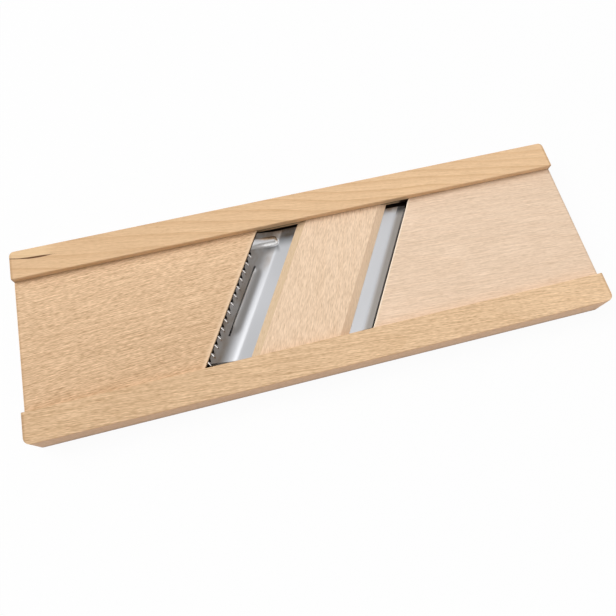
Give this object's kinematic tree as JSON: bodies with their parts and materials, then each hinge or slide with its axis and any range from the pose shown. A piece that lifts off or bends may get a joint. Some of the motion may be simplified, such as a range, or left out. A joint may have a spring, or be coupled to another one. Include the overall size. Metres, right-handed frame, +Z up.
{
  "type": "cabbage cutter",
  "caption": "Flat beech cabbage cutter: grooved side rails carry boards with slanted throats, one with a plain slicing blade and one with a pressed toothed shredding blade.",
  "frame": {"origin": "middle of the underside, between the two rails and halfway along them", "axes": "+X along the rails to the plain-blade end, +Y across to the far rail, +Z up through the slicing face"},
  "size_m": [0.44, 0.147, 0.0215],
  "materials": {
    "rail_beech": "planed and sanded bare beech",
    "board_beech": "planed and sanded bare beech",
    "pale_beech": "planed and sanded bare pale beech",
    "blade_steel": "fine brushed stainless steel with ground edges",
    "brad_steel": "plain drawn steel wire"
  },
  "bodies": {
    "root": {"near_rail": "rail_beech", "far_rail": "rail_beech", "left_board": "board_beech", "middle_board": "pale_beech", "right_board": "pale_beech", "plain_blade": "blade_steel", "toothed_blade": "blade_steel", "near_rail_brads": "brad_steel", "far_rail_brads": "brad_steel", "plain_blade_pins": "brad_steel", "toothed_blade_pins": "brad_steel"}
  },
  "joints": []
}
